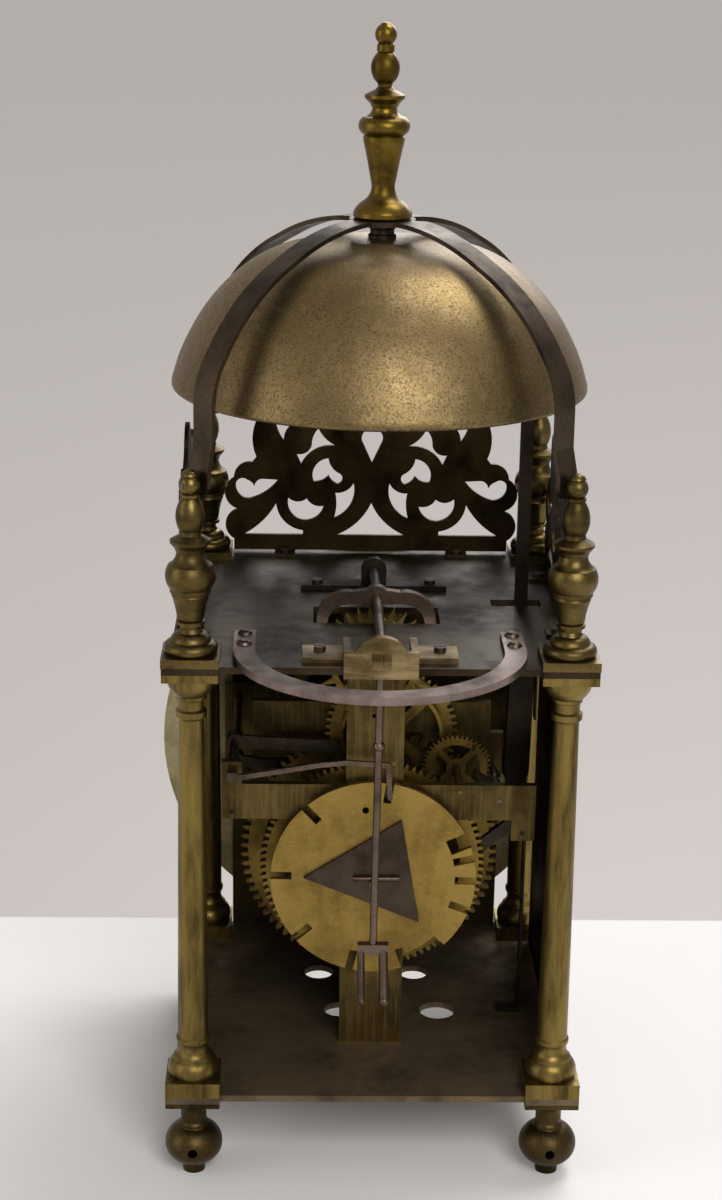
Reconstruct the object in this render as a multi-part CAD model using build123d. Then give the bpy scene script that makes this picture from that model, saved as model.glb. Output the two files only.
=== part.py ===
"""Lantern clock with count-wheel striking and an anchor escapement, in millimetres.

Z is up, the dial faces -Y and the back is open. X and Y are measured from the centre
of the four pillars; FRAME_Y then moves the clock so its box is centred on the origin.
"""
import os
from math import atan2, cos, degrees, hypot, pi, radians, sin, sqrt

from build123d import *

os.makedirs("parts", exist_ok=True)

# Centres of the arbors, as X and Z
GOING_AT = (0.0, 91.6)
SECOND_AT = (3.0, 144.015)
ESCAPE_AT = (0.0, 177.0)
DIAL_AT = (0.0, 115.0)
STRIKE_AT = (0.0, 102.0)
HOOP_AT = (-7.0, 144.548)
WARNING_AT = (-31.0, 133.56)
FLY_AT = (-45.0, 130.19)
DETENT_AT = (51.0, 141.9)
LIFTING_AT = (51.5, 126.0)
HAMMER_AT = (-53.8, 118.1)

# Case: the top plate's height follows from the escape wheel under it
PILLAR = 64.0
PLATE_HALF = PILLAR + 7.4
CORNER = 19.2
PLATE_T = 2.4
FLOOR = 33.5
BOTTOM = FLOOR - PLATE_T
CEILING = ESCAPE_AT[1] + 15.3
TOP = CEILING + PLATE_T
SPIGOT = 3.0
BLOCK_H = 5.6
CAP_H = 2.8
PLINTH_H = 3.1
PLINTH_HALF = 9.8
SPUR_R = 1.75
SPUR_DEPTH = 6.0
SPUR_Z = 11.4
FOOT_R = 8.85
CORNERS = [(sx * PILLAR, sy * PILLAR) for sx in (-1, 1) for sy in (-1, 1)]

# Clearances: a running or sliding fit, and the space between separate pieces
RUN = 0.05
CLEAR = 0.3

# Movement bars: front faces
BAR_T = 3.0
FRONT_BAR = -50.0
MIDDLE_BAR = -11.0
REAR_BAR = 28.5
REAR_FACE = REAR_BAR + BAR_T
ARBOR = 1.6
PIVOT = 0.9
PIVOT_HOLE = PIVOT + RUN

# Going train
GREAT_TEETH = 80
SECOND_TEETH = 48
ESCAPE_TEETH = 30
LEAVES = 8
HOUR_TEETH = 72
REPORT_LEAVES = 6
ESCAPE_TIP = 21.5
ESCAPE_Y = (12.0, 14.0)
GOING_Y = (-17.0, -14.5)
SECOND_Y = (-42.0, -40.0)
HOUR_Y = (-56.0, -54.5)
LIFTING_PIN = 43.5

# Striking train
STRIKE_TEETH = 91
HOOP_LEAVES = 7
HOOP_TEETH = 54
WARNING_LEAVES = 6
WARNING_TEETH = 42
FLY_LEAVES = 8
STRIKE_Y = (20.5, 23.5)
HOOP_Y = (-3.5, -1.5)
WARNING_Y = (5.0, 6.5)
WARNING_PIN = 6.2
VANE_Y = (WARNING_Y[1] + WARNING_PIN + CLEAR, 26.0)
PIN_CIRCLE = 34.0
PIN_R = 1.2
HAMMER_PINS = 6
COUNT_Y = (34.0, 36.0)
COUNT_R = 37.2
COUNT_SLOTS = (12.3, 358.5, 340.0, 289.2, 257.0, 220.0, 178.5, 132.3, 81.5)
COUNT_WIDE = 23.8
COUNT_LOW = (291.0, 303.0, 315.0)
KEEPER = ((25.2, 102.5), (-9.9, 125.0), (-16.9, 85.3))
KEEPER_T = 1.4

# Rope pulleys
ROPE_R = 18.7
CHEEK = 4.0
GOING_PULLEY_Y = (-30.0, -21.0)
STRIKE_PULLEY_Y = (2.5, 11.0)

# Escapement on the top plate
ANCHOR_AT = (0.0, TOP + 6.8)
ANCHOR_R = 1.75
SLOT_HALF = 22.6
COCK_Y = PLATE_HALF + 0.2
COCK_T = 2.8
CRUTCH_Y = COCK_Y - 2.6

# Bell and its straps
BELL_RIM = 73.4
BELL_Z = TOP + 82.54
BELL_H = 50.95
BELL_WALL = 2.4
BALL_S = PILLAR * sqrt(2)
BALL_Z = TOP + 61.3
STRAP_T = 1.6
STRAP_W = 9.0
STRAP_OUT = 84.7
STRAP_PIN = 1.0
CROWN_Z = TOP + 140.3
BOLT_R = 2.2

# Hammer
HAMMER_Y = (-4.5, -1.5)
HAMMER_OPENING = (-60.7, -42.5)
HAMMER_EDGE = -59.6
HEAD_Z = BELL_Z + 6.76
HEAD_REAR = -50.8
TAIL_W = 4.4

# Frets
FRET_T = 1.5
FRET_Y = PILLAR + 4.0
TAB_X = 33.5
TAB_IN = 59.0
TAB_T = 1.2
SCREW_R = 1.0

# Dial
DIAL_Y = -PILLAR - 7.0
DIAL_HALF = PILLAR - CORNER / 2 - CLEAR
DIAL_T = 1.4
RING_OUT = 82.0
RING_IN = 53.0
RING_T = 2.0
RING_Y = DIAL_Y - 3.2
RING_STUD = 1.5
RING_STUDS = [(RING_IN - 5.5, radians(45 + 90 * k)) for k in range(4)]
STUD_R = 2.4
PIPE_R = 3.6
HAND_Y = (RING_Y - 3.2, RING_Y - 1.4)
STUD_END = HAND_Y[0] - 2.2

# Side doors
DOOR_X = PILLAR + 3.0
DOOR_T = 1.2
HINGE_Y = PILLAR - 12.0
HINGE_X = DOOR_X + DOOR_T / 2
HINGE_R = 1.2

# Hanging hoop: its rear reach and the front end of the dial stud set the shift
HOOP_R = 50.0
HOOP_W = 7.5
HOOP_T = 2.6
HOOP_C = 58.0
RIVET_R = 1.8
RIVETS = [(side * (HOOP_R - HOOP_W / 2), y) for side in (-1, 1) for y in (43.0, 54.0)]
FRAME_Y = -(HOOP_C + HOOP_R + STUD_END) / 2


def save(name, part):
    export_step(Pos(0, FRAME_Y, 0) * part, f"parts/{name}.step")


def block(x, y, z):
    """Box between the two values of each pair."""
    size = [b - a for a, b in (x, y, z)]
    middle = [(a + b) / 2 for a, b in (x, y, z)]
    return Pos(*middle) * Box(*size)


def outline(start, steps):
    """Face closed through lines (x, y) and arcs (x, y on the arc, x, y at its end)."""
    edges = []
    here = start
    for step in steps:
        if len(step) == 2:
            edges.append(Line(here, step))
        else:
            edges.append(ThreePointArc(here, step[:2], step[2:]))
        here = step[-2:]
    if hypot(here[0] - start[0], here[1] - start[1]) > 1e-6:
        edges.append(Line(here, start))
    return make_face(Wire(edges))


def raised(steps, z):
    """The same lines and arcs, moved up by z."""
    return [tuple(value + z * (place % 2) for place, value in enumerate(step)) for step in steps]


def turned(start, steps):
    """Body of revolution about Z from a profile of radius and height."""
    face = Plane.XZ * outline(start, steps)
    return revolve(face, Axis.Z, 360)


def upright(face, y0, y1):
    """Plate cut to an X-Z face between two Y values."""
    plane = Plane(origin=(0, y1, 0), x_dir=(1, 0, 0), z_dir=(0, -1, 0))
    return extrude(plane * face, y1 - y0)


def rod(at, y0, y1, radius):
    return upright(Pos(*at) * Circle(radius), y0, y1)


def post(x, y, z0, z1, radius):
    return Pos(x, y, (z0 + z1) / 2) * Cylinder(radius, z1 - z0)


def join(parts):
    whole = parts[0]
    for part in parts[1:]:
        whole = whole + part
    return whole


def direction(a, b):
    return atan2(b[1] - a[1], b[0] - a[0])


def polar(radius, angle, centre=(0.0, 0.0)):
    return (centre[0] + radius * cos(angle), centre[1] + radius * sin(angle))


# Gears

def module_for(a, b, wheel, pinion):
    return 2 * hypot(b[0] - a[0], b[1] - a[1]) / (wheel + pinion)


def epicycloid(pitch, rolling, roll):
    """Radius and angle of the point traced when a circle rolls outside the pitch circle."""
    turn = (pitch + rolling) / rolling * roll
    x = (pitch + rolling) * cos(roll) - rolling * cos(turn)
    y = (pitch + rolling) * sin(roll) - rolling * sin(turn)
    return hypot(x, y), atan2(y, x)


def wheel_outline(teeth, leaves, module, phase):
    """Toothed wheel with radial flanks and epicycloid tips for a pinion of few leaves."""
    pitch = module * teeth / 2
    rolling = module * leaves / 4
    half = 0.235 * 2 * pi / teeth
    root = pitch - 1.05 * module
    roll = 0.0
    while epicycloid(pitch, rolling, roll)[1] < 0.82 * half:
        roll += 0.0005
    tip_r, tip_a = epicycloid(pitch, rolling, roll)
    mid_r, mid_a = epicycloid(pitch, rolling, roll * 0.62)
    steps = []
    for tooth in range(teeth):
        at = phase + tooth * 2 * pi / teeth
        steps.append(polar(root, at - half))
        steps.append(polar(pitch, at - half))
        steps.append((*polar(mid_r, at - half + mid_a), *polar(tip_r, at - half + tip_a)))
        steps.append(polar(tip_r, at + half - tip_a))
        steps.append((*polar(mid_r, at + half - mid_a), *polar(pitch, at + half)))
        steps.append(polar(root, at + half))
    return outline(steps[0], steps[1:])


def pinion_outline(leaves, module, phase):
    """Pinion with radial flanks and round-topped leaves."""
    pitch = module * leaves / 2
    half = 0.185 * 2 * pi / leaves
    root = pitch - 1.4 * module
    top = pitch + pitch * sin(half) * 0.9
    steps = []
    for leaf in range(leaves):
        at = phase + leaf * 2 * pi / leaves
        steps.append(polar(root, at - half))
        steps.append(polar(pitch, at - half))
        steps.append((*polar(top, at), *polar(pitch, at + half)))
        steps.append(polar(root, at + half))
    return outline(steps[0], steps[1:])


def crossings(outer, hub, arm):
    """The windows between the arms of a crossed-out wheel."""
    ring = Circle(outer) - Circle(hub)
    return ring - Rectangle(3 * outer, arm) - Rectangle(arm, 3 * outer)


def wheel(at, mate, teeth, leaves, module, rim, hub, arm, y):
    """Crossed-out wheel with one tooth on the line to its mate."""
    face = wheel_outline(teeth, leaves, module, direction(at, mate))
    inner = module * (teeth / 2 - 1.05) - rim
    face = face - Rot(0, 0, 45) * crossings(inner, hub, arm)
    return upright(Pos(*at) * face, *y)


def pinion(at, mate, leaves, module, y):
    """Pinion with one gap on the line to its mate."""
    face = pinion_outline(leaves, module, direction(at, mate) + pi / leaves)
    return upright(Pos(*at) * face, *y)


def arbor(at, y0, y1, front_pivot, rear_pivot, radius=ARBOR):
    """Steel shaft between two shoulders, with a thinner pivot at each end."""
    body = rod(at, y0 + CLEAR, y1 - CLEAR, radius)
    return body + rod(at, front_pivot, y0 + CLEAR, PIVOT) + rod(at, y1 - CLEAR, rear_pivot, PIVOT)


GOING_M = module_for(GOING_AT, SECOND_AT, GREAT_TEETH, LEAVES)
SECOND_M = module_for(SECOND_AT, ESCAPE_AT, SECOND_TEETH, LEAVES)
HOUR_M = module_for(GOING_AT, DIAL_AT, HOUR_TEETH, REPORT_LEAVES)
STRIKE_M = module_for(STRIKE_AT, HOOP_AT, STRIKE_TEETH, HOOP_LEAVES)
HOOP_M = module_for(HOOP_AT, WARNING_AT, HOOP_TEETH, WARNING_LEAVES)
WARNING_M = module_for(WARNING_AT, FLY_AT, WARNING_TEETH, FLY_LEAVES)


# Case

def plate(z0, z1):
    body = block((-PLATE_HALF, PLATE_HALF), (-PLATE_HALF, PLATE_HALF), (z0, z1))
    for x, y in CORNERS:
        body = body + block((x - CORNER / 2, x + CORNER / 2), (y - CORNER / 2, y + CORNER / 2), (z0, z1))
    for x, y in CORNERS:
        body = body - post(x, y, z0 - 1, z1 + 1, SPIGOT + RUN)
    for side in (-1, 1):
        body = body - post(side * HINGE_X, HINGE_Y, z0 - 1, z1 + 1, HINGE_R + RUN)
    return body


def top_plate():
    body = plate(CEILING, TOP)
    deep = (CEILING - 1, TOP + 1)
    body = body - block((-SLOT_HALF, SLOT_HALF), (3.5, 22.5), deep)
    body = body - block(HAMMER_OPENING, (-7.0, 1.0), deep)
    body = body - block((-6.0, 6.0), (62.0, PLATE_HALF + 1), deep)
    for x, y in RIVETS:
        body = body - post(x, y, *deep, RIVET_R + RUN)
    return body


def bottom_plate():
    body = plate(BOTTOM, FLOOR)
    for x, y, r in ((-26.5, 6.3, 6.8), (11.1, 5.8, 5.7), (18.7, -25.6, 5.7), (-18.7, -25.6, 5.7)):
        body = body - post(x, y, BOTTOM - 1, FLOOR + 1, r)
    return body


def pillar():
    """Tapering turned pillar between two square blocks, with a spigot at each end."""
    lower = [(SPIGOT, 0.0), (8.6, 0.0), (8.6, BLOCK_H), (9.0, 8.8, 7.0, 12.1), (7.0, 12.9)]
    lower += [(5.9, 14.1, 5.7, 18.1), (6.0, 18.7), (6.0, 20.0), (5.45, 20.5)]
    upper = [(5.0, -78.3, 4.35, -18.3), (5.35, -17.4), (5.35, -15.3), (4.4, -14.7), (4.4, -11.5)]
    upper += [(5.2, -11.0), (5.2, -9.9), (7.4, -7.3, 8.2, -CAP_H), (8.2, 0.0), (SPIGOT, 0.0)]
    steps = [(SPIGOT, FLOOR - 7.0), *raised(lower, FLOOR), *raised(upper, CEILING)]
    body = turned((0.0, FLOOR - 7.0), [*steps, (SPIGOT, TOP + 3.0), (0.0, TOP + 3.0)])
    h = CORNER / 2
    base = block((-h, h), (-h, h), (FLOOR, FLOOR + BLOCK_H))
    return body + (base + block((-h, h), (-h, h), (CEILING - CAP_H, CEILING)))


def foot():
    """Ball foot under a cavetto, with a thin square block against the plate."""
    steps = [(4.0, 0.0), (4.0, 2.8), (5.2, 4.2), (10.2, 12.6, 5.6, 18.2), (5.2, 18.6), (5.2, 19.4)]
    steps += [(4.6, 20.2), *raised([(4.6, -8.1), (5.3, -4.5, 7.5, -1.8), (7.5, 0.0), (0.0, 0.0)], BOTTOM)]
    h = CORNER / 2
    body = turned((0.0, 0.0), steps) + block((-h, h), (-h, h), (BOTTOM - 1.8, BOTTOM))
    return body - post(0, 0, FLOOR - 7.5, BOTTOM + 1, SPIGOT + RUN)


def rear_foot():
    """Foot with the level hole that takes a wall spur."""
    return foot() - rod((0.0, SPUR_Z), FOOT_R - SPUR_DEPTH, FOOT_R + 2, SPUR_R)


def corner_finial():
    """Turned finial on a square plinth, with the ball that holds the strap's end."""
    steps = [(8.6, 0.0), (8.6, PLINTH_H), (9.2, 5.1, 7.6, 7.0), (6.9, 7.2), (6.9, 7.7)]
    steps += [(6.0, 9.2, 4.2, 10.2), (3.5, 11.5), (3.7, 12.8), (4.9, 13.0), (4.9, 14.2)]
    steps += [(4.2, 14.5), (4.6, 15.1), (5.2, 18.9, 6.4, 23.1), (6.1, 23.9), (7.0, 24.3)]
    steps += [(7.0, 25.6), (7.4, 26.1), (8.5, 30.1, 7.4, 33.7), (5.4, 35.6, 4.7, 37.9)]
    steps += [(5.4, 39.6), (6.8, 41.3), (6.8, 42.2), (3.8, 43.9), (3.6, 45.3)]
    steps += [(4.8, 49.5, 2.9, 56.5), (3.2, 56.9), (3.2, 57.9), (2.6, 58.3)]
    steps += [(3.75, 61.3, 2.6, 63.8), (2.9, 64.2), (1.9, 65.6, 0.5, 66.2), (0.0, 66.2)]
    body = turned((0.0, 0.0), steps)
    h = PLINTH_HALF
    body = body + block((-h, h), (-h, h), (0.0, PLINTH_H))
    return body - post(0, 0, -1.0, 3.3, SPIGOT + RUN)


def radial_pin_hole(x, y, radius):
    """Short cylinder through the ball, along the diagonal of its corner."""
    turn = degrees(atan2(y, x))
    along = Rot(0, 0, turn) * Pos(BALL_S, 0, BALL_Z) * Rot(0, 90, 0)
    return along * Cylinder(radius, 16.0)


def strap_pin(x, y):
    turn = degrees(atan2(y, x))
    middle = BALL_S + (3.9 - 7.0) / 2
    along = Rot(0, 0, turn) * Pos(middle, 0, BALL_Z) * Rot(0, 90, 0)
    return along * Cylinder(STRAP_PIN, 10.9)


def bell_strap():
    """Four flat arms bent down from one crown to the balls of the finials."""
    lower = BALL_S - 3.75
    back = STRAP_OUT - STRAP_T
    outside = [(0.0, 0.0), (12.0, 0.0), (30.5, -3.1, 47.7, -10.2), (67.0, -23.1, 78.6, -37.0)]
    outside += [(83.3, -46.0, STRAP_OUT, -56.0)]
    leg = [(STRAP_OUT, 12.0), (lower, 3.5), (lower, -4.5), (lower - STRAP_T, -4.5)]
    leg += [(lower - STRAP_T, 3.2), (back, 11.7)]
    inside = [(back, -56.0), (81.8, -46.6, 77.3, -37.9), (66.0, -24.3, 47.0, -11.65)]
    inside += [(30.1, -4.65, 11.9, -STRAP_T), (0.0, -STRAP_T)]
    steps = raised(outside, CROWN_Z) + raised(leg, BALL_Z) + raised(inside, CROWN_Z)
    arm = upright(outline(steps[0], steps[1:]), -STRAP_W / 2, STRAP_W / 2)
    arm = fillet(arm.edges().filter_by(Axis.X).sort_by(Axis.Z)[:2], 3.6)
    crown = post(0, 0, CROWN_Z - STRAP_T, CROWN_Z, 11.5)
    body = join([crown] + [Rot(0, 0, 45 + 90 * k) * arm for k in range(4)])
    body = body - post(0, 0, CROWN_Z - 10, CROWN_Z + 5, BOLT_R + RUN)
    for x, y in CORNERS:
        body = body - radial_pin_hole(x, y, STRAP_PIN + RUN)
    return body


def bell_curve(rim, height, angle):
    t = radians(angle)
    return (rim * cos(t) ** 0.628, BELL_Z + height * sin(t) ** 1.538)


def bell():
    """Cast bell: the wall follows one curve, scaled for the inside, over a rolled lip."""
    angles = (2, 8, 16, 28, 42, 58, 74, 84)
    outer = [bell_curve(BELL_RIM, BELL_H, a) for a in angles]
    inner = [bell_curve(BELL_RIM - BELL_WALL, BELL_H - BELL_WALL, a) for a in angles]
    top = BELL_Z + BELL_H
    skin = Spline([*outer, (0.0, top)], tangents=[(0, 1), (-1, 0)])
    lining = Spline([(0.0, top - BELL_WALL), *reversed(inner)], tangents=[(1, 0), (0, -1)])
    lip = ThreePointArc(inner[0], ((inner[0][0] + outer[0][0]) / 2, BELL_Z - 1.2), outer[0])
    face = make_face(Wire([skin, Line((0.0, top), (0.0, top - BELL_WALL)), lining, lip]))
    body = revolve(Plane.XZ * face, Axis.Z, 360)
    return body - post(0, 0, top - 10, top + 5, BOLT_R + RUN)


def bell_nut():
    top = BELL_Z + BELL_H + 0.1
    steps = [(4.9, top), (4.9, top + 1.2), (4.2, top + 1.6), (4.2, CROWN_Z - 3.6), (4.9, CROWN_Z - 3.1)]
    steps += [(4.9, CROWN_Z - STRAP_T), (0.0, CROWN_Z - STRAP_T)]
    return turned((0.0, top), steps) - post(0, 0, top - 1, CROWN_Z, BOLT_R + RUN)


def bell_bolt():
    """Round-headed bolt from inside the bell up into the top finial."""
    under = BELL_Z + BELL_H - BELL_WALL
    steps = [(4.0, under - 3.2), (5.6, under - 1.8), (5.6, under - 0.2), (BOLT_R, under - 0.2)]
    steps += [(BOLT_R, CROWN_Z + 10.0), (0.0, CROWN_Z + 10.0)]
    return turned((0.0, under - 3.2), steps)


def top_finial():
    steps = [(9.6, 0.0), (10.25, 0.9), (10.25, 2.2), (9.0, 4.2, 6.6, 6.2)]
    steps += [(4.6, 8.6, 4.35, 12.8)]
    steps += [(5.4, 18.5, 7.1, 26.4), (7.2, 27.9), (6.8, 28.5), (8.9, 31.4, 7.0, 34.6)]
    steps += [(4.9, 35.8, 4.3, 37.6), (5.2, 39.2), (6.9, 40.9), (6.9, 42.0), (3.4, 43.7)]
    steps += [(2.4, 44.7), (2.6, 45.8), (4.8, 49.6, 2.7, 56.1), (3.0, 56.5), (3.0, 58.6)]
    steps += [(2.5, 59.2), (3.7, 62.6, 1.9, 65.3), (1.3, 65.8, 0.4, 66.0), (0.0, 66.0)]
    body = Pos(0, 0, CROWN_Z) * turned((0.0, 0.0), steps)
    return body - post(0, 0, CROWN_Z - 1, CROWN_Z + 10.6, BOLT_R + RUN)


# Frets

FRET_HOLES = (
    ((0.0, 36.4), ((3.5, 44.0), (3.2, 48.6, 0.0, 50.0))),
    ((0.0, 7.2), ((13.4, 7.2), (5.4, 12.4, 0.0, 20.2))),
    ((26.6, 7.2), ((49.7, 7.2), (42.5, 12.5, 37.1, 19.7), (34.3, 13.0, 26.6, 8.9))),
    ((32.3, 22.0), ((25.7, 13.1, 18.6, 18.9), (22.6, 19.3, 25.2, 21.8), (28.6, 20.5, 32.3, 22.0))),
    ((7.0, 28.1), ((8.2, 19.4, 14.5, 14.0), (13.6, 19.0, 14.1, 24.2), (10.6, 24.7, 7.0, 28.1))),
    ((16.9, 38.0), ((21.7, 35.3, 22.6, 28.8), (19.3, 29.2, 16.8, 31.2), (15.3, 29.0, 13.0, 27.8),
                    (11.4, 29.8, 12.5, 31.9), (15.2, 34.0, 16.9, 38.0))),
    ((20.9, 49.8), ((18.3, 46.0, 13.9, 43.0), (22.4, 41.3, 27.5, 35.6), (29.3, 39.6),
                    (25.4, 40.3, 23.4, 43.2), (22.8, 46.8, 20.9, 49.8))),
    ((37.4, 52.4), ((28.6, 52.4), (33.0, 49.4, 34.3, 45.0), (36.4, 48.6, 37.4, 52.4))),
    ((36.4, 29.2), ((40.9, 24.7, 47.0, 21.8), (51.6, 23.5, 52.8, 27.2), (51.3, 29.5, 48.4, 29.1),
                    (46.7, 28.1, 45.6, 26.4), (44.6, 28.6, 42.4, 29.5))),
)


def fret_face():
    """Pierced scroll fret, drawn as one half and mirrored."""
    steps = [(53.5, 1.0), (53.5, 5.4), (56.8, 10.6, 52.0, 17.4), (56.7, 21.8, 53.6, 30.0)]
    steps += [(50.8, 35.2, 46.4, 36.2), (44.8, 38.2), (46.4, 45.8, 44.2, 54.0)]
    steps += [(36.0, 54.7, 30.0, 57.8), (20.0, 55.3, 10.0, 60.3), (6.2, 64.9, 0.0, 67.3)]
    half = outline((0.0, 1.0), steps)
    for start, cut in FRET_HOLES:
        half = half - outline(start, list(cut))
    return half + mirror(half, Plane.YZ)


def fret():
    """Front fret with two tabs bent back onto the top plate."""
    body = upright(Pos(0, TOP) * fret_face(), -FRET_Y - FRET_T / 2, -FRET_Y + FRET_T / 2)
    for side in (-1, 1):
        x = (side * TAB_X - 4.0, side * TAB_X + 4.0)
        body = body + block(x, (-FRET_Y - FRET_T / 2, -TAB_IN), (TOP, TOP + TAB_T))
        body = body - post(side * TAB_X, -TAB_IN - 4.0, TOP - 1, TOP + 5, SCREW_R + RUN)
    return body


def cheese_screw(x, y, z):
    """Slotted cheese-head screw standing on a face at height z."""
    head = post(x, y, z, z + 1.3, 2.1)
    head = head - block((x - 3, x + 3), (y - 0.3, y + 0.3), (z + 0.7, z + 2))
    return head + post(x, y, z - 1.2, z, SCREW_R)


def fret_screws():
    front = [cheese_screw(side * TAB_X, -TAB_IN - 4.0, TOP + TAB_T) for side in (-1, 1)]
    turned_sets = [Rot(0, 0, turn) * screw for turn in (0, 90, -90) for screw in front]
    return Compound(children=turned_sets)


# Movement bars

def holes(body, spots, y0):
    for at, radius in spots:
        body = body - rod(at, y0 - 1, y0 + BAR_T + 1, radius)
    return body


def strip_face(x0, x1, z0, z1):
    return Pos((x0 + x1) / 2, (z0 + z1) / 2) * Rectangle(x1 - x0, z1 - z0)


def front_bar():
    face = strip_face(-11, 11, FLOOR, CEILING) + strip_face(-58.3, 56.5, 110.0, 146.5)
    face = face - strip_face(-48.0, -14.0, 100.0, 136.0) - strip_face(14.0, 46.0, 100.0, 119.0)
    body = upright(face, FRONT_BAR, FRONT_BAR + BAR_T)
    arbors = (GOING_AT, SECOND_AT, ESCAPE_AT, DETENT_AT, LIFTING_AT, HAMMER_AT)
    spots = [(at, PIVOT_HOLE) for at in arbors]
    spots.append((DIAL_AT, STUD_R + RUN))
    return holes(body, spots, FRONT_BAR)


def middle_bar():
    face = strip_face(-11, 11, FLOOR, CEILING) + strip_face(-44.5, 44.5, 142.0, 154.0)
    face = face + strip_face(-49.5, -26.0, 125.5, 142.0)
    body = upright(face, MIDDLE_BAR, MIDDLE_BAR + BAR_T)
    spots = [(at, PIVOT_HOLE) for at in (GOING_AT, SECOND_AT, STRIKE_AT, HOOP_AT, WARNING_AT, FLY_AT)]
    spots.append((ESCAPE_AT, ARBOR + 0.5))
    return holes(body, spots, MIDDLE_BAR)


def rear_bar():
    face = strip_face(-10.3, 10.3, 120.0, CEILING) + strip_face(-11.5, 11.5, FLOOR, 125.0)
    face = face + strip_face(-58.3, 54.9, 123.1, 136.6)
    face = face + strip_face(47.6, 54.9, 136.0, 145.0) + strip_face(-58.3, -49.8, 115.1, 124.0)
    body = upright(face, REAR_BAR, REAR_FACE)
    spots = [(at, PIVOT_HOLE) for at in (HOOP_AT, WARNING_AT, FLY_AT, ESCAPE_AT, LIFTING_AT, HAMMER_AT)]
    spots.append((STRIKE_AT, ARBOR + RUN))
    spots.append((DETENT_AT, ARBOR + RUN))
    spots.append(((0.5, 163.0), 0.8))
    return holes(body, spots, REAR_BAR)


# Trains

def pulley(at, y):
    """Grooved pulley: two cheeks and a narrower middle."""
    width = y[1] - y[0]
    rim = ROPE_R + CHEEK
    steps = [(rim, 0.0), (rim, 1.2), (ROPE_R, width / 2, rim, width - 1.2), (rim, width), (0.0, width)]
    body = Rot(-90, 0, 0) * turned((0.0, 0.0), steps)
    return Pos(at[0], y[0], at[1]) * body - rod(at, y[0] - 1, y[1] + 1, ARBOR)


def going_great_wheel():
    """Great wheel with its lifting pin, and the pinion of report in front of the bar."""
    body = wheel(GOING_AT, SECOND_AT, GREAT_TEETH, LEAVES, GOING_M, 6.0, 8.0, 5.0, GOING_Y)
    body = body + arbor(GOING_AT, FRONT_BAR + BAR_T, MIDDLE_BAR, -58.0, -8.5)
    body = body + rod(polar(LIFTING_PIN, radians(200), GOING_AT), -22.4, GOING_Y[0], 1.0)
    return body + pinion(GOING_AT, DIAL_AT, REPORT_LEAVES, HOUR_M, (-57.0, -51.0))


def going_second_wheel():
    body = wheel(SECOND_AT, ESCAPE_AT, SECOND_TEETH, LEAVES, SECOND_M, 4.5, 5.0, 3.5, SECOND_Y)
    body = body + pinion(SECOND_AT, GOING_AT, LEAVES, GOING_M, (-19.0, -12.5))
    return body + arbor(SECOND_AT, FRONT_BAR + BAR_T, MIDDLE_BAR, -49.6, -8.5)


def escape_face():
    """Recoil escape wheel: long pointed teeth that lean one way."""
    root = ESCAPE_TIP - 5.0
    step = 2 * pi / ESCAPE_TEETH
    steps = []
    for tooth in range(ESCAPE_TEETH):
        at = pi / 2 + (tooth + 0.5) * step
        steps.append(polar(root, at - 0.45 * step))
        steps.append((*polar(root + 2.3, at - 0.22 * step), *polar(ESCAPE_TIP, at - 0.03 * step)))
        steps.append(polar(ESCAPE_TIP, at + 0.03 * step))
        steps.append(polar(root, at + 0.25 * step))
    face = outline(steps[0], steps[1:])
    return face - Rot(0, 0, 45) * crossings(root - 2.2, 4.0, 2.6)


def escape_wheel():
    body = upright(Pos(*ESCAPE_AT) * escape_face(), *ESCAPE_Y)
    body = body + rod(ESCAPE_AT, ESCAPE_Y[0] - 3, ESCAPE_Y[0], 3.0)
    body = body + pinion(ESCAPE_AT, SECOND_AT, LEAVES, SECOND_M, (-44.0, -38.0))
    return body + arbor(ESCAPE_AT, FRONT_BAR + BAR_T, REAR_BAR, -49.6, 31.2)


def hour_wheel():
    """Hour wheel whose pipe runs on the dial stud and carries the hand."""
    body = wheel(DIAL_AT, GOING_AT, HOUR_TEETH, REPORT_LEAVES, HOUR_M, 3.5, 6.0, 3.0, HOUR_Y)
    body = body + rod(DIAL_AT, HAND_Y[0] - 0.2, HOUR_Y[1], PIPE_R)
    return body - rod(DIAL_AT, -90.0, 0.0, STUD_R + RUN)


def dial_stud():
    """Fixed stud riveted in the front bar, on which the hour wheel's pipe turns."""
    body = rod(DIAL_AT, STUD_END, FRONT_BAR + BAR_T, STUD_R)
    return body + rod(DIAL_AT, HOUR_Y[1] + CLEAR, FRONT_BAR, 4.4)


def strike_great_wheel():
    """Great wheel with its ring of hammer pins, on an arbor that carries the count wheel."""
    body = wheel(STRIKE_AT, HOOP_AT, STRIKE_TEETH, HOOP_LEAVES, STRIKE_M, 6.8, 9.0, 5.5, STRIKE_Y)
    for k in range(HAMMER_PINS):
        at = polar(PIN_CIRCLE, radians(15 + 360 / HAMMER_PINS * k), STRIKE_AT)
        body = body + rod(at, STRIKE_Y[0] - 6.0, STRIKE_Y[0] + 1.0, PIN_R)
    shaft = rod(STRIKE_AT, MIDDLE_BAR + BAR_T + CLEAR, 42.0, ARBOR)
    shaft = shaft + rod(STRIKE_AT, -10.6, MIDDLE_BAR + BAR_T + CLEAR, PIVOT)
    return body + shaft + rod(STRIKE_AT, REAR_FACE + CLEAR, COUNT_Y[0], 4.0)


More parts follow.
